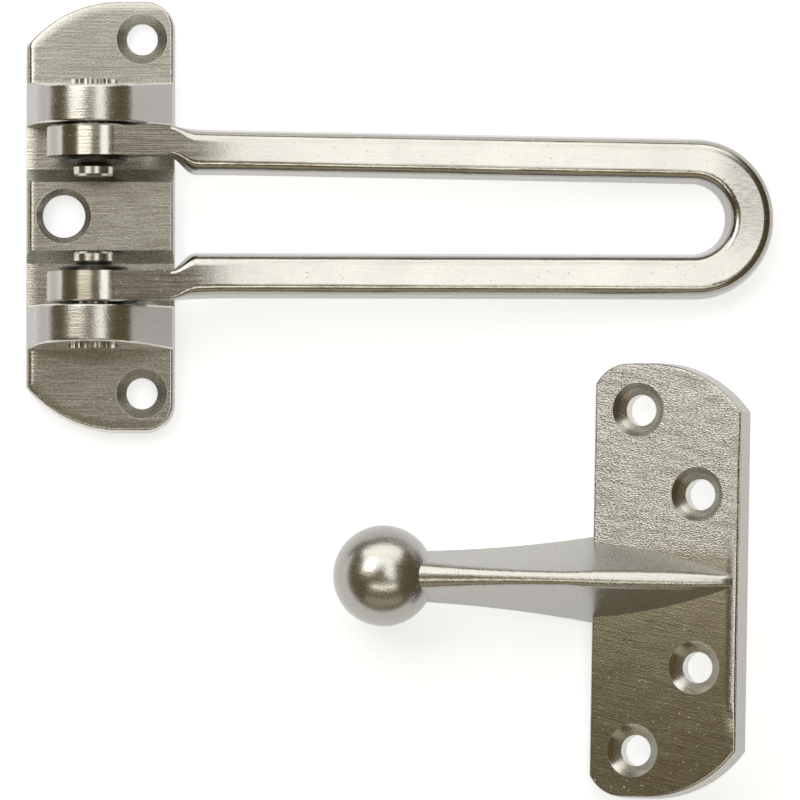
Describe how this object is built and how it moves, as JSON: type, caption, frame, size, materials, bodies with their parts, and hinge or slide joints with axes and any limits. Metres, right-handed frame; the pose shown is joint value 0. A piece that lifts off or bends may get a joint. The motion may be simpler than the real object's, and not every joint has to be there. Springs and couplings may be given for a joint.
{
  "type": "door restrictor",
  "caption": "Swing bar door restrictor: a hinged U-shaped bar on a frame plate, and a door plate whose blade-like arm ends in a ball.",
  "frame": {"origin": "middle of the frame plate's back face, which lies on the plane z = 0", "axes": "+X from the frame plate along the resting bar, +Y along the hinge pins, +Z out of the frame plate's face"},
  "size_m": [0.127, 0.1355, 0.0183],
  "materials": {
    "satin_casting": "satin nickel on a zinc casting, brushed",
    "satin_bar": "satin nickel, polished along its length",
    "bright_pin": "bright nickel",
    "dark_spring": "blackened spring steel"
  },
  "bodies": {
    "frame_side": {"frame_plate": "satin_casting", "upper_hinge_pin": "bright_pin", "lower_hinge_pin": "bright_pin", "upper_spring_washer": "dark_spring", "lower_spring_washer": "dark_spring", "ball_catch_plate": "satin_casting"},
    "bar": {"swing_bar": "satin_bar"}
  },
  "joints": [
    {"name": "bar_swing", "type": "hinge", "parent": "frame_side", "child": "bar", "pos_m": [-0.0009, 0, 0.0104], "axis": [0, -1, 0], "range_deg": [0, 187.4]}
  ]
}
